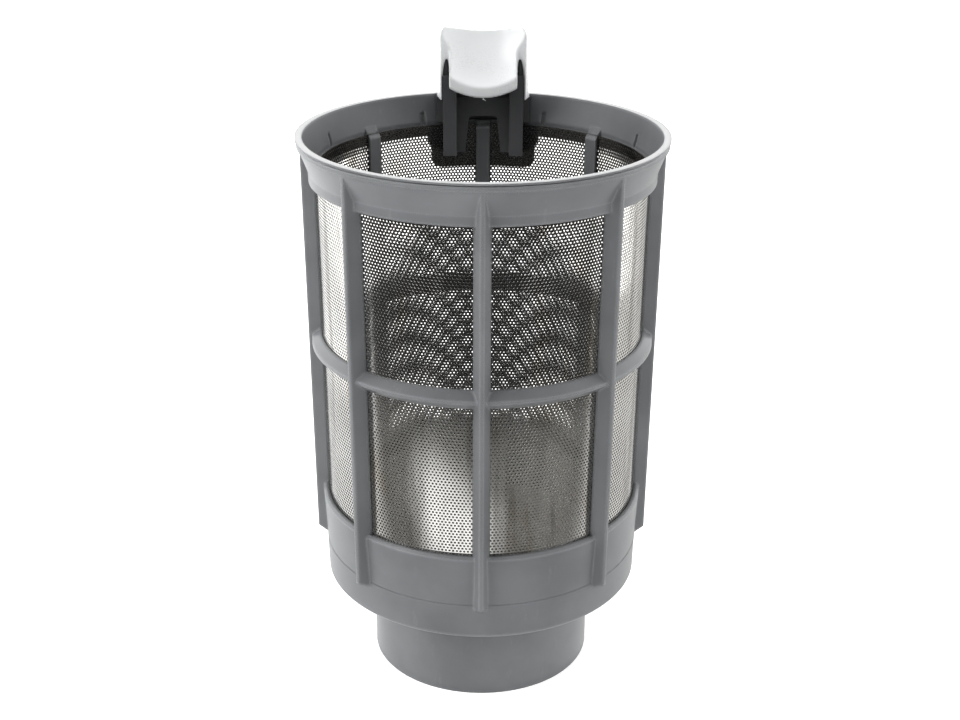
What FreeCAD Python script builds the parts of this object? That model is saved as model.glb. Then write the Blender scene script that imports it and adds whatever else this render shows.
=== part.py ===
import FreeCAD, Part
import os
import math
import Sketcher
from FreeCAD import Placement, Rotation, Vector

# Cylindrical dishwasher filter, in millimetres. Its axis is Z, the spigot's mouth stands on Z = 0
# and the handle is at the back, towards +Y. Heights inside the rim are measured down from its top.
# Walls and the handle lie inwards of the rim's edge by their insets, so they follow its radius.

sizes = {
    # spigot and cup
    "spigotRadius": 31.7,
    "spigotWall": 1.8,
    "spigotLength": 27.1,
    "cupBaseInset": 5.0,
    "cupStepInset": 4.75,
    "cupWallInset": 4.85,
    "cupLipInset": 4.1,
    "cupBoreInset": 6.7,
    "cupFloor": 1.8,
    "cupStepRise": 10.4,
    "cupLipRise": 25.3,
    "lipBevel": 0.7,
    "baseBevel": 0.8,
    "spigotBevel": 1.2,
    "floorBevel": 2.9,
    # screen
    "screenTopInset": 4.95,
    "screenFootInset": 5.85,
    "screenSheet": 0.4,
    "screenSeat": 6.5,
    "screenFit": 0.08,
    "gapWidth": 6.2,
    "gapHeight": 6.0,
    "gapSpread": 13.0,
    "gapRise": 12.5,
    # rim and collar
    "rimTop": 156.2,
    "rimRadius": 50.0,
    "rimBoreInset": 1.9,
    "rimEdge": 0.5,
    "grooveInset": 0.7,
    "grooveWidth": 0.3,
    "flangeInset": 0.25,
    "flangeWidth": 1.3,
    "collarInset": 0.6,
    "waistInset": 3.2,
    "collarTaper": 6.9,
    "collarHeight": 11.7,
    "ledgeInset": 4.2,
    "ledgeDepth": 7.6,
    "ledgeDrop": 1.6,
    "sheetDrop": 0.9,
    # fins, inner ribs and middle ring
    "finCount": 8,
    "finTopInset": 0.85,
    "finBottomInset": 1.9,
    "finRoot": 4.8,
    "finCrest": 1.1,
    "finBelowRim": 2.2,
    "finFootDrop": 1.4,
    "ribWidth": 4.1,
    "ribDepth": 0.9,
    "ribBelowRim": 6.4,
    "ribBevel": 3.2,
    "ringCrownInset": 2.5,
    "ringFootInset": 5.15,
    "ringMiddle": 98.2,
    "ringBase": 5.4,
    "ringCrest": 0.8,
    # notches in the rim, and the pad behind the handle
    "notchWidth": 1.1,
    "notchTop": 5.0,
    "notchFoot": 8.6,
    "notchTopEndInset": 2.8,
    "notchFootEndInset": 3.8,
    "padAngle": 42.6,
    "padFaceInset": 3.2,
    "padTopSpan": 34.0,
    "padSpan": 30.6,
    "padShoulder": 3.3,
    "padDrop": 9.8,
    "padRound": 3.4,
    "padLap": 0.25,
    # recess for the handle
    "recessRoom": 0.2,
    "recessFrontInset": 10.0,
    "handleFit": 0.1,
    # handle bracket
    "postSpan": 23.3,
    "postWidth": 4.0,
    "postFrontInset": 13.0,
    "postBackInset": 7.7,
    "postDrop": 16.5,
    "postRise": 7.2,
    "tabFrontInset": 11.9,
    "tabWidth": 1.4,
    "tabRise": 13.2,
    "webFrontInset": 8.8,
    "webDrop": 16.4,
    "blockFrontInset": 8.0,
    "blockBackInset": 2.5,
    "archTop": 8.1,
    "archFoot": 10.6,
    "archCrown": 5.5,
    "archRound": 1.4,
    "archBackInset": 3.2,
    # thumb grip
    "shoulderStep": 1.0,
    "gripShoulderRise": 15.0,
    "crownStep": 4.0,
    "gripCorner": 7.0,
    "gripRise": 21.6,
    "gripBackInset": 1.7,
    "gripArc": 14.0,
    "gripWall": 1.8,
    "gripSideWall": 1.7,
    "postClear": 0.15,
    "cheekSweep": 1.2,
    "cheekLength": 4.5,
    "hollowRise": 9.0,
    "ceilingRise": 13.5,
    "ceilingBackInset": 5.8,
    "ceilingFrontInset": 6.6,
    "hollowMouthInset": 19.0,
    "tongueFrontInset": 19.0,
    "tongueStep": 1.95,
    "scoopAxisInset": 32.0,
    "scoopAxisRise": 26.0,
    "scoopSideRadius": 17.7,
    "scoopCrown": 18.7,
    "underSideRadius": 25.1,
    "underCrown": 21.3,
    "underDepth": 5.9,
    "underTurn": 62.0,
    "slitWidth": 1.9,
    "slitKnee": 6.5,
    "slitRise": 12.9,
    "slitLean": 0.75,
    "slitInnerRound": 27.7,
    "slitOuterRound": 18.0,
    "channelSkin": 0.8,
    "channelFit": 0.3,
}

doc = FreeCAD.newDocument("filter")
sheet = doc.addObject("Spreadsheet::Sheet", "sizes")
for row, (word, number) in enumerate(sizes.items(), start=1):
    sheet.set(f"A{row}", word)
    sheet.set(f"B{row}", str(number))
    sheet.setAlias(f"B{row}", word)
doc.recompute()

fullTurn = 360.0
overrun = 1.0


def terms(formula):
    """Splits a sum such as 'rimTop - ringBase/2' into signed parts: sign, word or number, divisor.
    A word with an inset, such as 'cupLip' with cupLipInset, is the rim's radius less that inset."""
    found = []
    sign = 1
    for token in formula.split():
        if token in ("+", "-"):
            sign = 1 if token == "+" else -1
            continue
        name, _, divisor = token.partition("/")
        divisor = divisor or "1"
        if name + "Inset" in sizes:
            found.append((sign, "rimRadius", divisor))
            found.append((-sign, name + "Inset", divisor))
        else:
            found.append((sign, name, divisor))
        sign = 1
    return found


def amount(formula):
    total = 0.0
    for sign, name, divisor in terms(formula):
        value = getattr(sheet, name) if name in sizes else float(name)
        total += sign * value / float(divisor)
    return total


def bound(formula):
    """The same sum as an expression on the sheet."""
    parts = []
    for sign, name, divisor in terms(formula):
        operand = f"sizes.{name}" if name in sizes else name
        parts.append(f"{'+' if sign > 0 else '-'} {operand} / {divisor}")
    return "0 " + " ".join(parts)


def bind(item, prop, formula):
    item.setExpression(prop, bound(formula))


def newBody(name):
    body = doc.addObject("PartDesign::Body", name)
    body.Label = name
    return body


def newSketch(body, name, role, offset=("0", "0", "0"), turn=0.0):
    """A sketch on one of the body's planes, moved by the offset along its own x, y and normal."""
    sketch = body.newObject("Sketcher::SketchObject", name)
    plane = next(item for item in body.Origin.OriginFeatures if item.Role == role)
    sketch.AttachmentSupport = (plane, [""])
    sketch.MapMode = "FlatFace"
    spin = Rotation(Vector(0, 1, 0), turn)
    sketch.AttachmentOffset = Placement(Vector(*[amount(part) for part in offset]), spin)
    for axis, formula in zip("xyz", offset):
        if formula != "0":
            bind(sketch, f"AttachmentOffset.Base.{axis}", formula)
    return sketch


def pin(sketch, edge, end, corner):
    """Holds one end of an edge at a corner given as two sums."""
    for kind, axis, formula in (("DistanceX", -2, corner[0]), ("DistanceY", -1, corner[1])):
        if formula == "0":
            sketch.addConstraint(Sketcher.Constraint("PointOnObject", edge, end, axis))
            continue
        index = sketch.addConstraint(Sketcher.Constraint(kind, -1, 1, edge, end, amount(formula)))
        bind(sketch, f"Constraints[{index}]", formula)


def arcBetween(start, end, radius):
    """The shorter arc from start to end, counterclockwise."""
    chord = end - start
    rise = math.sqrt(radius ** 2 - (chord.Length / 2) ** 2)
    middle = (start + end) * 0.5
    centre = middle + Vector(-chord.y, chord.x, 0).normalize() * rise
    first = math.atan2(start.y - centre.y, start.x - centre.x)
    last = math.atan2(end.y - centre.y, end.x - centre.x)
    return Part.ArcOfCircle(Part.Circle(centre, Vector(0, 0, 1), radius), first, last)


def addLoop(sketch, corners, arcs=None):
    """A closed loop of lines. arcs maps an edge's number to its radius and sense, 1 or -1."""
    arcs = arcs or {}
    points = [Vector(amount(across), amount(along), 0) for across, along in corners]
    count = len(points)
    ends = []
    for number in range(count):
        start, end = points[number], points[(number + 1) % count]
        if number not in arcs:
            edge = sketch.addGeometry(Part.LineSegment(start, end), False)
            ends.append((edge, 1, 2))
            continue
        radius, sense = arcs[number]
        if sense > 0:
            edge = sketch.addGeometry(arcBetween(start, end, amount(radius)), False)
            ends.append((edge, 1, 2))
        else:
            edge = sketch.addGeometry(arcBetween(end, start, amount(radius)), False)
            ends.append((edge, 2, 1))
        index = sketch.addConstraint(Sketcher.Constraint("Radius", edge, amount(radius)))
        bind(sketch, f"Constraints[{index}]", radius)
    for number in range(count):
        edge, first, last = ends[number]
        following, start, _ = ends[(number + 1) % count]
        sketch.addConstraint(Sketcher.Constraint("Coincident", edge, last, following, start))
        pin(sketch, edge, first, corners[number])


def addGap(sketch, across, along):
    """A four-sided gap round a place given as two sums."""
    addLoop(sketch, [
        (f"{across} - gapWidth/2", f"{along} - gapHeight/2"),
        (f"{across} + gapWidth/2", f"{along} - gapHeight/2"),
        (f"{across} + gapWidth/2", f"{along} + gapHeight/2"),
        (f"{across} - gapWidth/2", f"{along} + gapHeight/2"),
    ])


def opposite(formula):
    """The sum with every sign turned round."""
    swap = {"+": "-", "-": "+"}
    return "0 - " + " ".join(swap.get(token, token) for token in formula.split())


def mirrored(corners):
    """The same loop on the other side of the sketch's y axis."""
    return [(opposite(across), along) for across, along in corners]


def turned(body, kind, name, sketch, axis="V_Axis", angle=fullTurn, reverse=False, middle=False):
    """A Revolution or Groove about an axis of its own sketch."""
    feature = body.newObject(f"PartDesign::{kind}", name)
    feature.Profile = sketch
    feature.ReferenceAxis = (sketch, [axis])
    feature.Angle = angle
    feature.Reversed = reverse
    feature.Midplane = middle
    doc.recompute()
    return feature


def pushed(body, kind, name, sketch, length, reverse=False, middle=False):
    """A Pad or Pocket of a length given as a sum."""
    feature = body.newObject(f"PartDesign::{kind}", name)
    feature.Profile = sketch
    feature.Length = amount(length)
    bind(feature, "Length", length)
    feature.Reversed = reverse
    feature.Midplane = middle
    doc.recompute()
    return feature


def patterned(body, name, features):
    """Copies the features round the Z axis, once for each fin."""
    pattern = body.newObject("PartDesign::PolarPattern", name)
    pattern.Originals = features
    zAxis = next(item for item in body.Origin.OriginFeatures if item.Role == "Z_Axis")
    pattern.Axis = (zAxis, [""])
    pattern.Angle = fullTurn
    pattern.Occurrences = int(amount("finCount"))
    bind(pattern, "Occurrences", "finCount")
    body.Tip = pattern
    doc.recompute()
    return pattern


def dressed(body, kind, name, base, size, wanted):
    """A Fillet or Chamfer on the edges of the base feature that the test picks."""
    names = [f"Edge{number}" for number, edge in enumerate(base.Shape.Edges, start=1) if wanted(edge)]
    feature = body.newObject(f"PartDesign::{kind}", name)
    feature.Base = (base, names)
    prop = "Radius" if kind == "Fillet" else "Size"
    setattr(feature, prop, amount(size))
    bind(feature, prop, size)
    body.Tip = feature
    doc.recompute()
    return feature


def hoop(*rings):
    """A test for full circles about the Z axis, given as pairs of radius and height."""
    near = 0.02

    def wanted(edge):
        curve = edge.Curve
        if not isinstance(curve, Part.Circle) or not edge.isClosed():
            return False
        return any(abs(curve.Radius - amount(radius)) < near and abs(curve.Center.z - amount(height)) < near
                   for radius, height in rings)
    return wanted


def makeCup(body):
    step = "spigotLength + cupStepRise"
    lip = "spigotLength + cupLipRise"
    sketch = newSketch(body, "cupSection", "XZ_Plane")
    addLoop(sketch, [
        ("spigotRadius - spigotWall", "0"),
        ("spigotRadius", "0"),
        ("spigotRadius", "spigotLength"),
        ("cupBase", "spigotLength"),
        ("cupStep", step),
        ("cupWall", step),
        ("cupLip", lip),
        ("cupBore", lip),
        ("cupBore", "spigotLength + cupFloor"),
        ("spigotRadius - spigotWall + floorBevel", "spigotLength + cupFloor"),
        ("spigotRadius - spigotWall", "spigotLength + cupFloor - floorBevel"),
    ])
    cup = turned(body, "Revolution", "cup", sketch)
    bevelled = dressed(body, "Chamfer", "lipEdge", cup, "lipBevel", hoop(("cupLip", lip)))
    base = dressed(body, "Chamfer", "baseEdge", bevelled, "baseBevel", hoop(("cupBase", "spigotLength")))
    return dressed(body, "Chamfer", "spigotEdge", base, "spigotBevel", hoop(("spigotRadius", "spigotLength")))


def finOutline(sketch, root, crest):
    addLoop(sketch, [
        ("0 - finRoot/2", opposite(root)),
        ("finRoot/2", opposite(root)),
        ("finCrest/2", opposite(crest)),
        ("0 - finCrest/2", opposite(crest)),
    ])


def makeFins(body):
    """The fins taper to a crest. Their feet slant down from the crest to the cup."""
    step = "spigotLength + cupStepRise"
    foot = newSketch(body, "finFoot", "XY_Plane", ("0", "0", f"{step} - finFootDrop"))
    finOutline(foot, "screenFoot - screenSheet/2", "finBottom")
    head = newSketch(body, "finHead", "XY_Plane", ("0", "0", "rimTop - finBelowRim"))
    finOutline(head, "screenTop - screenSheet/2", "finTop")
    fin = body.newObject("PartDesign::AdditiveLoft", "fin")
    fin.Profile = foot
    fin.Sections = [head]
    fin.Ruled = True
    doc.recompute()
    patterned(body, "fins", [fin])
    slant = newSketch(body, "finFootSlant", "XZ_Plane")
    addLoop(slant, [
        ("cupStep", f"{step} - finFootDrop - {overrun}"),
        (f"finBottom + {overrun}", f"{step} - finFootDrop - {overrun}"),
        (f"finBottom + {overrun}", step),
        ("finBottom", step),
        ("cupStep", f"{step} - finFootDrop"),
    ])
    return turned(body, "Groove", "finFeet", slant)


def makeCollar(body):
    sketch = newSketch(body, "collarSection", "XZ_Plane")
    addLoop(sketch, [
        ("screenTop - screenSheet/2", "rimTop - collarHeight"),
        ("waist", "rimTop - collarHeight"),
        ("waist", "rimTop - rimEdge - grooveWidth - flangeWidth - collarTaper"),
        ("collar", "rimTop - rimEdge - grooveWidth - flangeWidth"),
        ("flange", "rimTop - rimEdge - grooveWidth - flangeWidth"),
        ("flange", "rimTop - rimEdge - grooveWidth"),
        ("groove", "rimTop - rimEdge - grooveWidth"),
        ("groove", "rimTop - rimEdge"),
        ("rimRadius", "rimTop - rimEdge"),
        ("rimRadius", "rimTop"),
        ("screenTop - screenSheet/2", "rimTop"),
    ])
    return turned(body, "Revolution", "collar", sketch)


def makeRing(body):
    seat = "screenTop/2 + screenFoot/2 - screenSheet/2"
    sketch = newSketch(body, "ringSection", "XZ_Plane")
    addLoop(sketch, [
        (seat, "ringMiddle - ringBase/2"),
        (seat, "ringMiddle + ringBase/2"),
        ("ringFoot", "ringMiddle + ringBase/2"),
        ("ringCrown", "ringMiddle + ringCrest/2"),
        ("ringCrown", "ringMiddle - ringCrest/2"),
        ("ringFoot", "ringMiddle - ringBase/2"),
    ])
    return turned(body, "Revolution", "ring", sketch)


def makePad(body):
    """The opaque patch on the outside of the screen, behind the handle."""
    top = "rimTop - collarHeight"
    sketch = newSketch(body, "padSection", "YZ_Plane")
    addLoop(sketch, [
        ("screenTop - screenSheet/2", top + " - padDrop"),
        ("padFace", top + " - padDrop"),
        ("padFace", top + " + padLap"),
        ("screenTop - screenSheet/2", top + " + padLap"),
    ])
    pad = turned(body, "Revolution", "pad", sketch, angle=amount("padAngle"), middle=True)
    bind(pad, "Angle", "padAngle")
    corners = newSketch(body, "padCornerOutlines", "XZ_Plane", ("0", "0", "0 - recessFront"))
    foot = top + " - padDrop"
    corner = [
        ("padSpan/2 - padRound", f"{foot} - {overrun}"),
        (f"padTopSpan/2 + {overrun}", f"{foot} - {overrun}"),
        (f"padTopSpan/2 + {overrun}", top),
        ("padTopSpan/2", top),
        ("padSpan/2", f"{top} - padShoulder"),
        ("padSpan/2", f"{foot} + padRound"),
        ("padSpan/2 - padRound", foot),
    ]
    addLoop(corners, corner, {5: ("padRound", -1)})
    addLoop(corners, mirrored(corner), {5: ("padRound", 1)})
    return pushed(body, "Pocket", "padCorners", corners, "rimRadius - recessFront")


def makeBore(body):
    """The tapered inside of the rim, with a narrow gap below it behind the screen's upper edge."""
    sketch = newSketch(body, "boreSection", "XZ_Plane")
    addLoop(sketch, [
        ("0", "rimTop - ledgeDepth - ledgeDrop"),
        ("ledge", "rimTop - ledgeDepth - ledgeDrop"),
        ("ledge", "rimTop - ledgeDepth"),
        ("rimBore", "rimTop"),
        ("0", "rimTop"),
    ])
    return turned(body, "Groove", "bore", sketch)


def makeRibs(body):
    """The flat ribs inside the screen, one behind each fin, with a bevelled head."""
    sketch = newSketch(body, "ribSection", "YZ_Plane")
    foot = "spigotLength + cupLipRise - screenSeat"
    head = "rimTop - ribBelowRim"
    addLoop(sketch, [
        ("0 - screenFoot + screenSheet/2", foot),
        ("0 - screenTop + screenSheet/2", "rimTop - ledgeDepth - ledgeDrop"),
        ("0 - ledge - ribDepth/2", "rimTop - ledgeDepth - ledgeDrop"),
        ("0 - ledge - ribDepth/2", head),
        ("0 - screenTop + screenSheet + ribDepth", head + " - ribBevel"),
        ("0 - screenFoot + screenSheet + ribDepth", foot),
    ])
    rib = pushed(body, "Pad", "rib", sketch, "ribWidth", middle=True)
    return patterned(body, "ribs", [rib])


def makeNotches(body):
    """Short upright notches in the bore, halfway between the fins."""
    between = fullTurn / amount("finCount") / 2
    sketch = newSketch(body, "notchSection", "YZ_Plane", turn=between)
    addLoop(sketch, [
        ("0 - screenTop", "rimTop - notchFoot"),
        ("0 - notchFootEnd", "rimTop - notchFoot"),
        ("0 - notchTopEnd", "rimTop - notchTop"),
        ("0 - screenTop", "rimTop - notchTop"),
    ])
    notch = pushed(body, "Pocket", "notch", sketch, "notchWidth", middle=True)
    return patterned(body, "notches", [notch])


hollowHalf = "postSpan/2 + postClear"
gripHalf = f"{hollowHalf} + gripSideWall"
recessHalf = f"{gripHalf} + recessRoom"


def makeRecess(body):
    sketch = newSketch(body, "recessOutline", "XZ_Plane", ("0", "0", "0 - recessFront"))
    addLoop(sketch, [
        (opposite(recessHalf), "rimTop - ledgeDepth"),
        (recessHalf, "rimTop - ledgeDepth"),
        (recessHalf, f"rimTop + {overrun}"),
        (opposite(recessHalf), f"rimTop + {overrun}"),
    ])
    return pushed(body, "Pocket", "recess", sketch, f"rimRadius - recessFront + {overrun}")


def screenCorners(fit):
    """The screen's section, grown by the fit on every side."""
    foot = f"spigotLength + cupLipRise - screenSeat - {fit}"
    head = f"rimTop - ledgeDepth - sheetDrop - screenFit + {fit}"
    return [
        (f"screenFoot - screenSheet - {fit}", foot),
        (f"screenFoot + {fit}", foot),
        (f"screenTop + {fit}", head),
        (f"screenTop - screenSheet - {fit}", head),
    ]


def makeFrame():
    body = newBody("frame")
    makeCup(body)
    makeFins(body)
    makeCollar(body)
    makeRing(body)
    makePad(body)
    makeBore(body)
    makeRibs(body)
    makeNotches(body)
    makeRecess(body)
    section = newSketch(body, "slotSection", "XZ_Plane")
    addLoop(section, screenCorners("screenFit"))
    turned(body, "Groove", "slot", section)
    return body


def makeScreen():
    """The rolled sheet, with coarse gaps for its fine perforation: five above and below the ring
    in each window."""
    body = newBody("screen")
    section = newSketch(body, "sheetSection", "XZ_Plane")
    addLoop(section, screenCorners("0"))
    turned(body, "Revolution", "sheet", section)
    holes = newSketch(body, "gapOutlines", "XZ_Plane", turn=fullTurn / amount("finCount") / 2)
    upper = "ringMiddle/2 + rimTop/2 - collarHeight/2"
    lower = "ringMiddle/2 + spigotLength/2 + cupLipRise/2"
    rows = {
        "- gapRise": ("0 - gapSpread/2", "gapSpread/2"),
        "+ 0": ("0",),
        "+ gapRise": ("0 - gapSpread/2", "gapSpread/2"),
    }
    for middle in (upper, lower):
        for shift, places in rows.items():
            for across in places:
                addGap(holes, across, f"{middle} {shift}")
    gap = pushed(body, "Pocket", "gap", holes, "rimRadius")
    patterned(body, "gaps", [gap])
    return body


def makeBracket():
    """Two posts and a set-back web with an arch, on a block that fills the rim's recess."""
    body = newBody("handle_bracket")
    block = newSketch(body, "blockOutline", "XY_Plane", ("0", "0", "rimTop - ledgeDepth"))
    half = f"{recessHalf} - handleFit"
    addLoop(block, [
        (opposite(half), "blockFront"),
        (half, "blockFront"),
        (half, "blockBack"),
        (opposite(half), "blockBack"),
    ], {2: ("collar", 1)})
    pushed(body, "Pad", "block", block, "ledgeDepth")
    posts = newSketch(body, "postOutlines", "XY_Plane", ("0", "0", "rimTop - postDrop"))
    post = [
        ("postSpan/2 - postWidth", "postFront"),
        ("postSpan/2", "postFront"),
        ("postSpan/2", "postBack"),
        ("postSpan/2 - postWidth", "postBack"),
    ]
    addLoop(posts, post)
    addLoop(posts, mirrored(post))
    pushed(body, "Pad", "posts", posts, "postDrop + postRise")
    tabs = newSketch(body, "tabOutlines", "XY_Plane", ("0", "0", "rimTop"))
    tab = [
        ("postSpan/2 - tabWidth", "tabFront"),
        ("postSpan/2", "tabFront"),
        ("postSpan/2", "postBack"),
        ("postSpan/2 - tabWidth", "postBack"),
    ]
    addLoop(tabs, tab)
    addLoop(tabs, mirrored(tab))
    pushed(body, "Pad", "tabs", tabs, "tabRise")
    web = newSketch(body, "webOutline", "XY_Plane", ("0", "0", "rimTop - webDrop"))
    addLoop(web, [
        ("0 - postSpan/2 + postWidth/2", "webFront"),
        ("postSpan/2 - postWidth/2", "webFront"),
        ("postSpan/2 - postWidth/2", "postBack"),
        ("0 - postSpan/2 + postWidth/2", "postBack"),
    ])
    pushed(body, "Pad", "web", web, "webDrop")
    arch = newSketch(body, "archOutline", "XZ_Plane", ("0", "0", f"{overrun} - postFront"))
    addLoop(arch, [
        ("0 - archFoot/2", f"rimTop - webDrop - {overrun}"),
        ("archFoot/2", f"rimTop - webDrop - {overrun}"),
        ("archTop/2", "rimTop - archCrown"),
        ("0 - archTop/2", "rimTop - archCrown"),
    ])
    opened = pushed(body, "Pocket", "arch", arch, f"archBack - postFront + {overrun}")

    def archCorner(edge):
        centre = edge.CenterOfMass
        along = abs(edge.tangentAt(edge.FirstParameter).y) > 0.99
        near = abs(centre.z - amount("rimTop - archCrown")) < 0.01
        return along and near and abs(abs(centre.x) - amount("archTop/2")) < 0.01
    dressed(body, "Fillet", "archCorners", opened, "archRound", archCorner)
    return body


def makeGrip():
    """A hood that sits on the bracket's block, with a tongue scooped for a thumb."""
    body = newBody("thumb_grip")
    side = newSketch(body, "gripSide", "YZ_Plane")
    addLoop(side, [
        ("tongueFront", "rimTop"),
        ("gripBack", "rimTop"),
        ("gripBack", "rimTop + gripRise - gripArc"),
        ("gripBack - gripArc", "rimTop + gripRise"),
        ("tongueFront", "rimTop + gripRise"),
    ], {2: ("gripArc", 1)})
    pushed(body, "Pad", "hood", side, f"{gripHalf} + {gripHalf}", middle=True)

    axis = ("0", "rimTop + scoopAxisRise", "0 - scoopAxis")
    scoop = newSketch(body, "scoopSection", "XZ_Plane", axis)
    scoopHalf = f"{gripHalf} + {overrun}"
    addLoop(scoop, [
        (opposite(scoopHalf), "0"),
        (opposite(scoopHalf), "0 - scoopSideRadius"),
        (scoopHalf, "0 - scoopSideRadius"),
        (scoopHalf, "0"),
    ], {1: ("scoopCrown", 1)})
    turned(body, "Groove", "scoop", scoop, axis="H_Axis")

    tongueHalf = "postSpan/2 - tongueStep"
    under = newSketch(body, "underSection", "XZ_Plane", axis)
    addLoop(under, [
        (opposite(tongueHalf), "0 - underSideRadius"),
        (tongueHalf, "0 - underSideRadius"),
        (tongueHalf, "0 - underSideRadius - underDepth"),
        (opposite(tongueHalf), "0 - underSideRadius - underDepth"),
    ], {0: ("underCrown", 1)})
    hollowed = turned(body, "Groove", "under", under, axis="H_Axis", angle=amount("underTurn"))
    bind(hollowed, "Angle", "underTurn")

    hollow = newSketch(body, "hollowSide", "YZ_Plane")
    addLoop(hollow, [
        ("hollowMouth", f"rimTop - {overrun}"),
        ("gripBack - gripWall", f"rimTop - {overrun}"),
        ("gripBack - gripWall", "rimTop + hollowRise"),
        ("ceilingBack", "rimTop + ceilingRise"),
        ("ceilingFront", "rimTop + ceilingRise"),
    ])
    pushed(body, "Pocket", "hollow", hollow, f"{hollowHalf} + {hollowHalf}", middle=True)

    sides = newSketch(body, "tongueSides", "XY_Plane", ("0", "0", f"rimTop - {overrun}"))
    beside = [
        (tongueHalf, f"tongueFront - {overrun}"),
        (f"{gripHalf} + {overrun}", f"tongueFront - {overrun}"),
        (f"{gripHalf} + {overrun}", "postFront"),
        (tongueHalf, "postFront"),
    ]
    addLoop(sides, beside)
    addLoop(sides, mirrored(beside))
    pushed(body, "Pocket", "tongue", sides, f"gripRise + {overrun} + {overrun}", reverse=True)

    slits = newSketch(body, "slitOutlines", "XZ_Plane", ("0", "0", f"{overrun} - tongueFront"))
    slit = [
        (tongueHalf, f"rimTop - {overrun}"),
        (f"{tongueHalf} + slitWidth", f"rimTop - {overrun}"),
        (f"{tongueHalf} + slitWidth", "rimTop + slitKnee"),
        (f"{tongueHalf} + slitLean", "rimTop + slitRise"),
        (tongueHalf, "rimTop + slitKnee"),
    ]
    addLoop(slits, slit, {2: ("slitOuterRound", 1), 3: ("slitInnerRound", 1)})
    addLoop(slits, mirrored(slit), {2: ("slitOuterRound", -1), 3: ("slitInnerRound", -1)})
    pushed(body, "Pocket", "slits", slits, f"postFront + channelSkin - tongueFront + {overrun}")

    channels = newSketch(body, "channelOutlines", "XY_Plane", ("0", "0", f"rimTop - {overrun}"))
    channel = [
        ("postSpan/2 - tabWidth - channelFit", "postFront + channelSkin"),
        (hollowHalf, "postFront + channelSkin"),
        (hollowHalf, "postBack + channelFit"),
        ("postSpan/2 - tabWidth - channelFit", "postBack + channelFit"),
    ]
    addLoop(channels, channel)
    addLoop(channels, mirrored(channel))
    pushed(body, "Pocket", "channels", channels, f"tabRise + channelFit + {overrun}", reverse=True)

    rooms = newSketch(body, "postRooms", "XY_Plane", ("0", "0", f"rimTop - {overrun}"))
    room = [
        ("postSpan/2 - postWidth - channelFit", f"postFront - {overrun}"),
        (hollowHalf, f"postFront - {overrun}"),
        (hollowHalf, "postBack + channelFit"),
        ("postSpan/2 - postWidth - channelFit", "postBack + channelFit"),
    ]
    addLoop(rooms, room)
    addLoop(rooms, mirrored(room))
    pushed(body, "Pocket", "postRoom", rooms, f"postRise + {overrun}", reverse=True)

    cheeks = newSketch(body, "cheekOutlines", "XY_Plane", ("0", "0", f"rimTop - {overrun}"))
    cheek = [
        (f"{gripHalf} - cheekSweep", f"postFront - {overrun}"),
        (f"{gripHalf} + {overrun}", f"postFront - {overrun}"),
        (f"{gripHalf} + {overrun}", "postFront + cheekLength"),
        (gripHalf, "postFront + cheekLength"),
        (f"{gripHalf} - cheekSweep", "postFront"),
    ]
    addLoop(cheeks, cheek)
    addLoop(cheeks, mirrored(cheek))
    pushed(body, "Pocket", "cheeks", cheeks, f"gripRise + {overrun} + {overrun}", reverse=True)

    flanks = newSketch(body, "flankOutlines", "XZ_Plane")
    right = [
        (gripHalf, f"rimTop - {overrun}"),
        (f"{gripHalf} + {overrun}", f"rimTop - {overrun}"),
        (f"{gripHalf} + {overrun}", f"rimTop + gripRise + {overrun}"),
        (f"{gripHalf} - crownStep", f"rimTop + gripRise + {overrun}"),
        (f"{gripHalf} - shoulderStep", "rimTop + gripShoulderRise"),
    ]
    addLoop(flanks, right, {3: ("gripCorner", -1)})
    addLoop(flanks, mirrored(right), {3: ("gripCorner", 1)})
    pushed(body, "Pocket", "flanks", flanks, f"gripBack + {overrun}")
    return body


bodies = [makeFrame(), makeScreen(), makeBracket(), makeGrip()]
doc.recompute()

for item in doc.Objects:
    if "Invalid" in item.State or "Error" in item.State:
        raise RuntimeError(f"{item.Label} failed: {item.State}")
os.makedirs("parts", exist_ok=True)
for body in bodies:
    shape = body.Shape
    if shape.isNull() or not shape.isValid():
        raise RuntimeError(f"{body.Label} has no valid shape")
    box = shape.BoundBox
    print(body.Label, "solids", len(shape.Solids), "volume", round(shape.Volume, 1),
          "box", [round(side, 2) for side in (box.XMin, box.YMin, box.ZMin, box.XMax, box.YMax, box.ZMax)])
    shape.exportStep(f"parts/{body.Label}.step")
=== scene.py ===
import bpy
import math
import numpy as np
from mathutils import Matrix, Vector


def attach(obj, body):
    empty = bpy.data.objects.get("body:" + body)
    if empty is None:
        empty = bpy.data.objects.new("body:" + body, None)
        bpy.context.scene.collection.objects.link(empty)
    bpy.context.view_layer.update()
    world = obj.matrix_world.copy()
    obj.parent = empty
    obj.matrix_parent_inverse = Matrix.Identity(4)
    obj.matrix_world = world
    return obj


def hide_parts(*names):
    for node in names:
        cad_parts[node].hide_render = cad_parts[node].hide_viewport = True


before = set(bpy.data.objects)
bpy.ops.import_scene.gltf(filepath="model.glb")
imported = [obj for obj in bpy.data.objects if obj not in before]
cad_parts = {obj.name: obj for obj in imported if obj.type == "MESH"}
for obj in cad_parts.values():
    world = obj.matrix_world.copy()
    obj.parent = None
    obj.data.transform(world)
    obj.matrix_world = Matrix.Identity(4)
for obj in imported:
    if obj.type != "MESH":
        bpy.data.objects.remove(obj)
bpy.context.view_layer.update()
scene = bpy.context.scene
print("frame loaded:", ", ".join(sorted(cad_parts)))


# camera, as fitted to the photograph

cameraSettings = {
    "place": (0.0, -0.3921, 0.2545),
    "lens": 56.25,
    "sensor": 36.0,
    "near": 0.01,
    "downTilt": 22.714,       # degrees, as the next two
    "heading": 0.08,
    "roll": 0.234,
}


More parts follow.
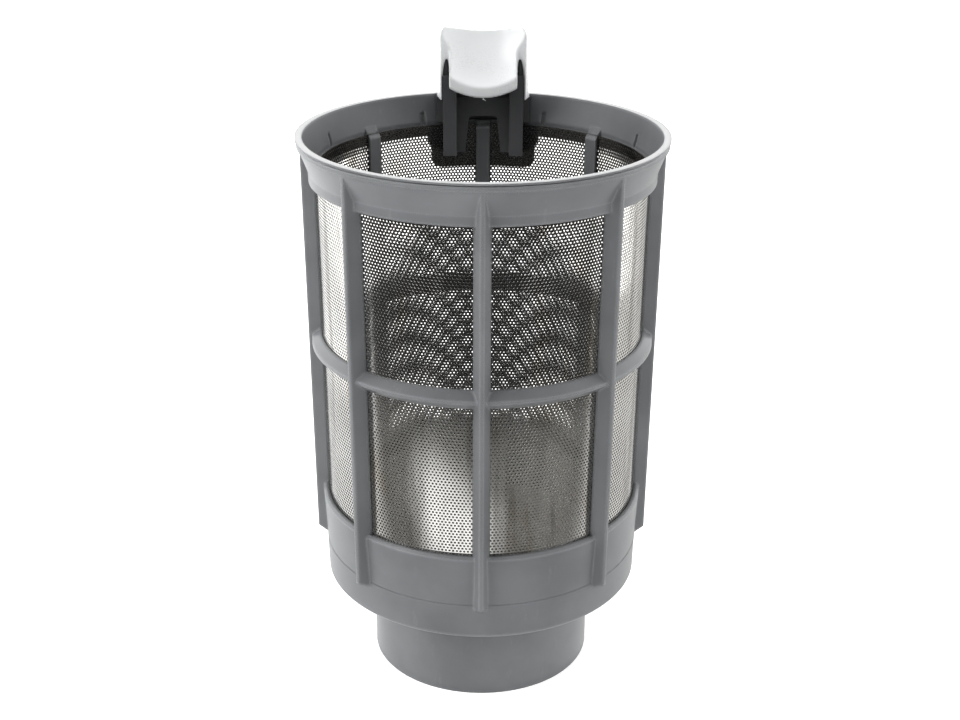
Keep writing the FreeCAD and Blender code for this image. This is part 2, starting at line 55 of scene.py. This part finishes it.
def addCamera(settings):
    data = bpy.data.cameras.new("camera")
    data.lens = settings["lens"]
    data.sensor_width = settings["sensor"]
    data.clip_start = settings["near"]
    camera = bpy.data.objects.new("camera", data)
    scene.collection.objects.link(camera)
    turn = Matrix.Rotation(math.radians(settings["heading"]), 4, "Z")
    turn = turn @ Matrix.Rotation(math.radians(90 - settings["downTilt"]), 4, "X")
    turn = turn @ Matrix.Rotation(math.radians(settings["roll"]), 4, "Z")
    camera.matrix_world = Matrix.Translation(settings["place"]) @ turn
    scene.camera = camera


addCamera(cameraSettings)


# shader maths, written as sums

class Wire:
    # a socket that can be added, multiplied and so on

    def __init__(self, shader, socket):
        self.shader = shader
        self.socket = socket

    def maths(self, operation, other, swap=False):
        first, second = (other, self) if swap else (self, other)
        return self.shader.node("ShaderNodeMath", {"operation": operation}, {0: first, 1: second})

    def __add__(self, other):
        return self.maths("ADD", other)

    __radd__ = __add__

    def __mul__(self, other):
        return self.maths("MULTIPLY", other)

    __rmul__ = __mul__

    def __sub__(self, other):
        return self.maths("SUBTRACT", other)

    def __rsub__(self, other):
        return self.maths("SUBTRACT", other, swap=True)

    def __truediv__(self, other):
        return self.maths("DIVIDE", other)

    def size(self):
        return self.maths("ABSOLUTE", 0.0)

    def root(self):
        return self.maths("POWER", 0.5)

    def centred(self):
        # noise, which is 0.5 on average, brought to 0
        return self - 0.5

    def ramp(self, low, high, out=(0.0, 1.0), smooth=True):
        # maps low..high onto out and holds the ends
        settings = {"interpolation_type": "SMOOTHSTEP" if smooth else "LINEAR"}
        values = {0: self, 1: low, 2: high, 3: out[0], 4: out[1]}
        return self.shader.node("ShaderNodeMapRange", settings, values)


class Shader:
    # the node tree of a material or a world, grown node by node

    def __init__(self, owner, coordinates="Object"):
        owner.use_nodes = True
        self.owner = owner
        self.tree = owner.node_tree
        self.place = self.node("ShaderNodeTexCoord", output=coordinates)

    def node(self, kind, settings=None, values=None, output=0):
        made = self.tree.nodes.new(kind)
        for word, setting in (settings or {}).items():
            setattr(made, word, setting)
        for socket, value in (values or {}).items():
            self.feed(made.inputs[socket], value)
        return Wire(self, made.outputs[output])

    def feed(self, socket, value):
        if isinstance(value, Wire):
            self.tree.links.new(value.socket, socket)
        else:
            socket.default_value = value

    def parts(self, vector=None):
        # x, y and z of the place or of another vector
        split = self.node("ShaderNodeSeparateXYZ", values={"Vector": vector or self.place})
        return [Wire(self, socket) for socket in split.socket.node.outputs]

    def reach(self):
        # distance from the filter's axis
        x, y = self.parts()[:2]
        return (x * x + y * y).root()

    def inward(self, normal):
        # 1 on a face that looks at the axis, -1 on one that looks away from it
        x, y = self.parts()[:2]
        across, along = self.parts(normal)[:2]
        return (x * across + y * along) / self.reach() * -1.0

    def mix(self, factor, first, second):
        values = {0: factor, 6: first, 7: second}
        return self.node("ShaderNodeMix", {"data_type": "RGBA"}, values, output=2)

    def noise(self, scale, detail, roughness=0.55, stretch=None):
        place = self.place
        if stretch:
            place = self.node("ShaderNodeMapping", values={"Vector": place, "Scale": stretch})
        values = {"Vector": place, "Scale": scale, "Detail": detail, "Roughness": roughness}
        return self.node("ShaderNodeTexNoise", values=values)

    def bump(self, height, distance, strength, normal=None):
        values = {"Strength": strength, "Distance": distance, "Height": height}
        if normal:
            values["Normal"] = normal
        return self.node("ShaderNodeBump", values=values)

    def finish(self, surface="Principled BSDF", **sockets):
        for word, value in sockets.items():
            self.feed(self.tree.nodes[surface].inputs[word.replace("_", " ")], value)
        return self.owner


# moulded plastic

plasticLook = {
    "blotch": {"scale": 38.0, "detail": 4.0},
    "blotchLevels": (0.3, 0.7),
    "blotchRough": 0.18,
    "grain": {"scale": 2600.0, "detail": 2.0},
    "grainBump": 0.35,
    "grainRough": 0.12,
    "scuff": {"scale": 420.0, "detail": 5.0, "roughness": 0.7, "stretch": (1.0, 1.0, 0.25)},
    "scuffLevels": (0.6, 0.72),
    "scuffRough": 0.08,
    "edgeLevels": (0.995, 0.9),       # how far the rounded normal stands off the plain one
    "edgeSamples": 3,
    "index": 1.48,
}
cageFinish = {
    "dark": (0.149, 0.154, 0.160, 1),
    "light": (0.184, 0.189, 0.196, 1),
    # lighter colour for scuffs and for the painted highlight on edges
    "scuffAndEdgeSheen": (0.45, 0.46, 0.47, 1),
    "edge": 0.0012,
    "edgeSheen": 0.45,
    "scuff": 0.06,
    "roughness": 0.34,
    "grain": 0.00002,
}
cageMarks = {
    # colour of the painted highlight on the rim's top
    "bright": (0.80, 0.80, 0.80, 1),
    "crownHighlight": 0.5,
    "crownSlopes": (0.7, 0.95),       # how level the rim's top is
    "crownHeights": (0.150, 0.1545),
    # painted shade inside the cup: its colour, slopes, reach and heights
    "cupShade": (0.07, 0.071, 0.073, 1),
    "cupShadeSlopes": (0.2, 0.6),
    "cupShadeReach": (0.0440, 0.0434),
    "cupShadeHeights": (0.049, 0.044),
}
bracketFinish = {
    "dark": (0.092, 0.094, 0.098, 1),
    "light": (0.114, 0.116, 0.121, 1),
    "scuffAndEdgeSheen": (0.17, 0.17, 0.18, 1),
    "edge": 0.00025,
    "edgeSheen": 0.4,
    "scuff": 0.10,
    "roughness": 0.42,
    "grain": 0.00002,
}
gripFinish = {
    "dark": (0.69, 0.70, 0.705, 1),
    "light": (0.72, 0.73, 0.735, 1),
    "scuffAndEdgeSheen": (0.76, 0.76, 0.76, 1),
    "edge": 0.0009,
    "edgeSheen": 0.2,
    "scuff": 0.12,
    "roughness": 0.30,
    "grain": 0.00001,
}


def markCage(shader, normal, color, marks):
    # painted highlight on the rim's top, and painted shade inside the cup
    level = shader.parts(normal)[2]
    height = shader.parts()[2]
    # painted highlight: the level top of the rim is lightened
    crownHighlightMask = level.ramp(*marks["crownSlopes"]) * height.ramp(*marks["crownHeights"])
    color = shader.mix(crownHighlightMask * marks["crownHighlight"], color, marks["bright"])
    # painted shade: faces inside the cup that look up or at the axis are darkened
    shadedInside = (level + shader.inward(normal)).ramp(*marks["cupShadeSlopes"])
    shadedInside = shadedInside * shader.reach().ramp(*marks["cupShadeReach"])
    return shader.mix(shadedInside * height.ramp(*marks["cupShadeHeights"]), color, marks["cupShade"])


def mouldedPlastic(name, settings, look, marks=None):
    # faint blotches, a fine grain, a painted highlight on rounded edges, and small scuffs
    shader = Shader(bpy.data.materials.new(name))
    blotch = shader.noise(**look["blotch"])
    grain = shader.noise(**look["grain"])
    scuff = shader.noise(**look["scuff"]).ramp(*look["scuffLevels"])
    rounded = shader.node("ShaderNodeBevel", {"samples": look["edgeSamples"]}, {"Radius": settings["edge"]})
    plain = shader.node("ShaderNodeNewGeometry", output="Normal")
    apart = shader.node("ShaderNodeVectorMath", {"operation": "DOT_PRODUCT"},
                        {0: rounded, 1: plain}, output="Value")
    edge = apart.ramp(*look["edgeLevels"])
    color = shader.mix(blotch.ramp(*look["blotchLevels"]), settings["dark"], settings["light"])
    # painted highlight: rounded edges are lightened
    color = shader.mix(edge * settings["edgeSheen"], color, settings["scuffAndEdgeSheen"])
    color = shader.mix(scuff * settings["scuff"], color, settings["scuffAndEdgeSheen"])
    if marks:
        color = markCage(shader, plain, color, marks)
    rough = settings["roughness"] + blotch.centred() * look["blotchRough"]
    rough = rough + grain.centred() * look["grainRough"] + scuff * look["scuffRough"]
    return shader.finish(Base_Color=color, Roughness=rough, IOR=look["index"],
                         Normal=shader.bump(grain, settings["grain"], look["grainBump"], rounded))


# rolled steel

steelFinish = {
    "bright": (0.62, 0.615, 0.60, 1),
    "dull": (0.54, 0.535, 0.52, 1),
    "blotch": {"scale": 46.0, "detail": 4.0},
    "blotchLevels": (0.35, 0.7),
    "blotchRough": 0.08,
    "dark": (0.34, 0.335, 0.32, 1),
    "darkening": 0.6,
    "streak": {"scale": 150.0, "detail": 3.0, "roughness": 0.6, "stretch": (1.0, 1.0, 0.09)},
    "streakLevels": (0.5, 0.66),
    "streakRough": 0.06,
    "streakBump": 0.25,
    "streakDepth": 0.00002,
    "brown": (0.42, 0.37, 0.30, 1),
    "browning": 0.5,
    "tinge": {"scale": 60.0, "detail": 3.0, "roughness": 0.6, "stretch": (1.0, 1.0, 0.3)},
    "tingeLevels": (0.55, 0.68),
    "innerShade": (0.18, 0.176, 0.165, 1),          # painted shade on the inner face
    "innerShadeSlopes": (0.3, 0.7),
    "innerFaceRough": 0.1,
    "roughness": 0.13,
}


def rolledSteel(name, settings):
    # blotches, upright streaks, a brown tinge in places, and painted shade on the inner face
    shader = Shader(bpy.data.materials.new(name))
    blotch = shader.noise(**settings["blotch"])
    streak = shader.noise(**settings["streak"])
    tinge = shader.noise(**settings["tinge"])
    normal = shader.node("ShaderNodeNewGeometry", output="Normal")
    shadedInside = shader.inward(normal).ramp(*settings["innerShadeSlopes"])
    color = shader.mix(blotch.ramp(*settings["blotchLevels"]), settings["bright"], settings["dull"])
    streaks = streak.ramp(*settings["streakLevels"]) * settings["darkening"]
    color = shader.mix(streaks, color, settings["dark"])
    stains = tinge.ramp(*settings["tingeLevels"]) * settings["browning"]
    color = shader.mix(stains, color, settings["brown"])
    # painted shade: the inner face is darkened
    color = shader.mix(shadedInside, color, settings["innerShade"])
    rough = settings["roughness"] + blotch.centred() * settings["blotchRough"]
    rough = rough + streak.centred() * settings["streakRough"] + shadedInside * settings["innerFaceRough"]
    return shader.finish(Base_Color=color, Roughness=rough, Metallic=1.0,
                         Normal=shader.bump(streak, settings["streakDepth"], settings["streakBump"]))


finishes = {
    "frame": mouldedPlastic("cageGrey", cageFinish, plasticLook, cageMarks),
    "handle_bracket": mouldedPlastic("bracketGrey", bracketFinish, plasticLook),
    "thumb_grip": mouldedPlastic("gripWhite", gripFinish, plasticLook),
    "screen": rolledSteel("screenSteel", steelFinish),
}
for name, material in finishes.items():
    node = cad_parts[name]
    node.data.materials.clear()
    node.data.materials.append(material)
print("finishes made")


# perforated sheet, in eight panels that meet behind the fins

sheetSettings = {
    "panels": 8,
    "columns": 35,            # lattice points across one panel
    "rows": 120,
    "holeReach": 0.345,       # from a hole's centre to its corners, as a share of the pitch
    "hiddenColumns": 1,       # left whole behind each fin
    "hiddenRows": (5, 1),     # left whole in the cup and in the rim
    "thickness": 0.0004,
    "topRadius": 0.04505,
    "footRadius": 0.04415,
    "top": 0.14762,
    "foot": 0.0459,
}
rowPitch = math.sqrt(0.75)    # of a lattice of equal triangles whose columns are 1 apart
latticeSlack = 0.05


def onlySelected(piece):
    bpy.ops.object.select_all(action="DESELECT")
    piece.select_set(True)
    bpy.context.view_layer.objects.active = piece


def placesOf(items, word):
    # one row of x, y and z for each vertex or face
    places = np.empty(len(items) * 3)
    items.foreach_get(word, places)
    return places.reshape(-1, 3)


def triangleCount(piece):
    return len(piece.data.loops) - 2 * len(piece.data.polygons)


def makeLattice(settings):
    # a grid with every other row shifted by half a column; the points that get a hole end up selected
    columns, rows = settings["columns"], settings["rows"]
    bpy.ops.object.select_all(action="DESELECT")
    bpy.ops.mesh.primitive_grid_add(x_subdivisions=columns, y_subdivisions=rows, size=1)
    panel = bpy.context.active_object
    mesh = panel.data
    places = placesOf(mesh.vertices, "co")
    column = np.rint((places[:, 0] + 0.5) * columns)
    row = np.rint((places[:, 1] + 0.5) * rows)
    places[:, 0] = column + 0.5 * (row % 2)
    places[:, 1] = row * rowPitch
    mesh.vertices.foreach_set("co", places.ravel())
    mesh.update()
    low, high = settings["hiddenRows"]
    side = settings["hiddenColumns"]
    inside = (row >= low) & (row <= rows - high) & (column > side) & (column < columns - side)
    onlySelected(panel)
    bpy.ops.object.mode_set(mode="EDIT")
    bpy.ops.mesh.select_all(action="SELECT")
    bpy.ops.mesh.quads_convert_to_tris(quad_method="SHORTEST_DIAGONAL")
    bpy.ops.mesh.select_all(action="DESELECT")
    bpy.ops.mesh.select_mode(type="VERT")
    bpy.ops.object.mode_set(mode="OBJECT")
    mesh.vertices.foreach_set("select", inside)
    return panel


def makeFlatPanel(settings):
    # the lattice's corners are bevelled into six-sided faces, and those are deleted
    panel = makeLattice(settings)
    mesh = panel.data
    bpy.ops.object.mode_set(mode="EDIT")
    bpy.ops.mesh.bevel(offset=settings["holeReach"], offset_type="OFFSET", segments=1, affect="VERTICES")
    bpy.ops.mesh.select_mode(type="FACE")
    bpy.ops.mesh.select_all(action="DESELECT")
    bpy.ops.object.mode_set(mode="OBJECT")
    centres = placesOf(mesh.polygons, "center")
    along = centres[:, 1] / rowPitch
    row = np.rint(along)
    across = centres[:, 0] - 0.5 * (row % 2)
    onLattice = (abs(along - row) < latticeSlack) & (abs(across - np.rint(across)) < latticeSlack)
    mesh.polygons.foreach_set("select", onLattice)
    bpy.ops.object.mode_set(mode="EDIT")
    bpy.ops.mesh.delete(type="FACE")
    bpy.ops.object.mode_set(mode="OBJECT")
    return panel


def wrapPanel(panel, name, settings, start, turn):
    # a copy of the flat panel, wrapped round the axis from one angle on, with its wall
    piece = panel.copy()
    piece.data = panel.data.copy()
    piece.name = name
    scene.collection.objects.link(piece)
    mesh = piece.data
    places = placesOf(mesh.vertices, "co")
    share = places[:, 1] / (settings["rows"] * rowPitch)
    angle = start + turn * places[:, 0] / settings["columns"]
    radius = settings["footRadius"] + (settings["topRadius"] - settings["footRadius"]) * share
    height = settings["foot"] + (settings["top"] - settings["foot"]) * share
    wrapped = np.stack([radius * np.cos(angle), radius * np.sin(angle), height], axis=1)
    mesh.vertices.foreach_set("co", wrapped.ravel())
    mesh.update()
    onlySelected(piece)
    wall = piece.modifiers.new("wall", "SOLIDIFY")
    wall.thickness = settings["thickness"]
    wall.offset = -1.0        # inwards
    bpy.ops.object.modifier_apply(modifier="wall")
    mesh.materials.append(finishes["screen"])
    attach(piece, "root")
    return piece


flatPanel = makeFlatPanel(sheetSettings)
sector = math.tau / sheetSettings["panels"]
for number in range(sheetSettings["panels"]):
    panel = wrapPanel(flatPanel, f"sheet_panel_{number + 1}", sheetSettings, number * sector, sector)
    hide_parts("screen")
bpy.data.objects.remove(flatPanel)
print("sheet made:", triangleCount(panel), "triangles in each panel")


# overlapped end of the sheet, behind the front fin

seamSettings = {
    "columns": 11,
    "rows": 50,
    "holeReach": 0.345,
    "hiddenColumns": 0,
    "hiddenRows": (0, 0),
    "thickness": 0.0003,
    "topRadius": 0.04411,
    "footRadius": 0.04373,
    "top": 0.08938,
    "foot": 0.04656,
    "start": -95.79,          # degrees round the axis
    "turn": 14.143,
}

flatSeam = makeFlatPanel(seamSettings)
wrapPanel(flatSeam, "sheet_seam", seamSettings, math.radians(seamSettings["start"]),
          math.radians(seamSettings["turn"]))
bpy.data.objects.remove(flatSeam)
print("seam made")


# thumb grip with its moulded, rounded edges

gripSettings = {
    "mergeReach": 0.000002,
    "voxel": 0.00026,
    "softening": 0.5,
    "softenings": 7,
    "nibPlace": (0.00035, 0.0312, 0.15775),
    "nibLength": 0.0011,
    "nibRadius": 0.00022,
    "nibTaper": 3,            # the foot's radius over the tip's
    "nibSides": 12,
    "nibTilt": 55.0,
}


def dressGrip(settings):
    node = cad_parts["thumb_grip"]
    piece = node.copy()
    piece.data = node.data.copy()
    piece.name = "grip_moulding"
    scene.collection.objects.link(piece)
    onlySelected(piece)
    bpy.ops.object.mode_set(mode="EDIT")
    bpy.ops.mesh.select_all(action="SELECT")
    bpy.ops.mesh.remove_doubles(threshold=settings["mergeReach"])
    bpy.ops.object.mode_set(mode="OBJECT")
    remesh = piece.modifiers.new("remesh", "REMESH")
    remesh.mode = "VOXEL"
    remesh.voxel_size = settings["voxel"]
    soften = piece.modifiers.new("soften", "SMOOTH")
    soften.factor = settings["softening"]
    soften.iterations = settings["softenings"]
    for modifier in ("remesh", "soften"):
        bpy.ops.object.modifier_apply(modifier=modifier)
    bpy.ops.object.shade_smooth()
    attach(piece, "root")
    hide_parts("thumb_grip")
    return piece


def addNib(settings):
    # what the mould's gate leaves under the tongue's tip
    bpy.ops.object.select_all(action="DESELECT")
    bpy.ops.mesh.primitive_cone_add(
        vertices=settings["nibSides"], depth=settings["nibLength"],
        radius1=settings["nibRadius"], radius2=settings["nibRadius"] / settings["nibTaper"],
        location=settings["nibPlace"], rotation=(0, math.radians(180 - settings["nibTilt"]), 0))
    nib = bpy.context.active_object
    nib.name = "grip_nib"
    bpy.ops.object.transform_apply(location=True, rotation=True, scale=True)
    bpy.ops.object.shade_smooth()
    nib.data.materials.append(finishes["thumb_grip"])
    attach(nib, "root")


grip = dressGrip(gripSettings)
addNib(gripSettings)
print("grip dressed:", triangleCount(grip), "triangles")


# floor

floorSettings = {
    "color": (0.92, 0.92, 0.92, 1),
    "glow": 0.35,
    "size": 8.0,
    "roughness": 0.9,
}


def addFloor(settings):
    bpy.ops.object.select_all(action="DESELECT")
    bpy.ops.mesh.primitive_plane_add(size=settings["size"], location=(0, 0, 0))
    floor = bpy.context.active_object
    floor.name = "floor"
    shader = Shader(bpy.data.materials.new("floorWhite"))
    floor.data.materials.append(shader.finish(
        Base_Color=settings["color"], Roughness=settings["roughness"],
        Emission_Color=(1, 1, 1, 1), Emission_Strength=settings["glow"]))


# shaded card on the floor, which only mirroring surfaces see

cardSettings = {
    "size": 2.4,
    "height": 0.002,
    "left": ((1.45, 1.45, 1.45, 1), (1.9, 1.9, 1.9, 1)),      # near the filter and away from it
    "right": (1.15, 1.14, 1.12, 1),
    "middle": (-0.06, 0.06),
    "front": ((0.34, 0.335, 0.32, 1), (0.02, 0.02, 0.02, 1)),
    "frontEdge": (-0.035, -0.075),
    "nearReach": (0.19, 0.27),
    "spot": (1.7, 1.7, 1.7, 1),
    "spotPlace": (-0.05, -0.14),
    "spotReach": (0.08, 0.04),
    "spotFade": (1.3, 0.4),
}


def addCard(settings):
    bpy.ops.object.select_all(action="DESELECT")
    bpy.ops.mesh.primitive_plane_add(size=settings["size"], location=(0, 0, settings["height"]))
    bpy.ops.object.transform_apply(location=True, rotation=True, scale=True)
    card = bpy.context.active_object
    card.name = "card"
    shader = Shader(bpy.data.materials.new("cardShades"))
    x, y = shader.parts()[:2]
    far = shader.reach().ramp(*settings["nearReach"])
    aside = (x - settings["spotPlace"][0]) / settings["spotReach"][0]
    along = (y - settings["spotPlace"][1]) / settings["spotReach"][1]
    spot = (aside * aside + along * along).root().ramp(*settings["spotFade"])
    left = shader.mix(far, *settings["left"])
    beside = shader.mix(x.ramp(*settings["middle"]), left, settings["right"])
    front = shader.mix(far, *settings["front"])
    shade = shader.mix(y.ramp(*settings["frontEdge"]), beside, front)
    shade = shader.mix(spot, shade, settings["spot"])
    card.data.materials.append(shader.finish(
        Base_Color=(0, 0, 0, 1), Roughness=1.0, Emission_Color=shade, Emission_Strength=1.0))
    card.visible_camera = False
    card.visible_diffuse = False
    card.visible_shadow = False


# light from all round, and two soft lamps

skySettings = {
    "backdrop": 1.0,          # where the camera looks past the filter
    "front": 0.25,
    "behind": 1.4,
    "depths": (-0.6, 0.5),
    "beside": 1.7,
    "besideSpan": (0.3, 0.85),
    "zenith": 0.8,
    "zenithSpan": (0.55, 0.95),
}
lampSettings = {
    "keyLeft": {"place": (-0.9, -0.5, 0.9), "aim": (0, 0, 0.1), "side": 0.6, "power": 5.0},
    "frontTop": {"place": (0.1, -0.9, 1.1), "aim": (0, 0, 0.12), "side": 0.8, "power": 2.2},
}
contrast = 0.8


def addSky(settings):
    # bright beside and behind the filter, and dim on the camera's side
    scene.world = bpy.data.worlds.new("studio")
    sky = Shader(scene.world, "Generated")
    x, y, z = sky.parts()
    depth = y.ramp(*settings["depths"], (settings["front"], settings["behind"]), smooth=False)
    beside = x.size().ramp(*settings["besideSpan"], (0.0, settings["beside"]), smooth=False)
    height = z.ramp(*settings["zenithSpan"], (1.0, settings["zenith"]), smooth=False)
    seen = sky.node("ShaderNodeLightPath", output="Is Camera Ray")
    strength = (depth + beside) * height * (1.0 - seen) + settings["backdrop"] * seen
    sky.finish("Background", Color=(1, 1, 1, 1), Strength=strength)


def addLamp(name, settings):
    data = bpy.data.lights.new(name, "AREA")
    data.size = settings["side"]
    data.energy = settings["power"]
    lamp = bpy.data.objects.new(name, data)
    scene.collection.objects.link(lamp)
    lamp.location = settings["place"]
    toAim = Vector(settings["aim"]) - Vector(settings["place"])
    lamp.rotation_euler = toAim.to_track_quat("-Z", "Y").to_euler()


addFloor(floorSettings)
addSky(skySettings)
addCard(cardSettings)
for name, settings in lampSettings.items():
    addLamp(name, settings)
scene.view_settings.view_transform = "Standard"
scene.view_settings.gamma = contrast
print("studio lit")
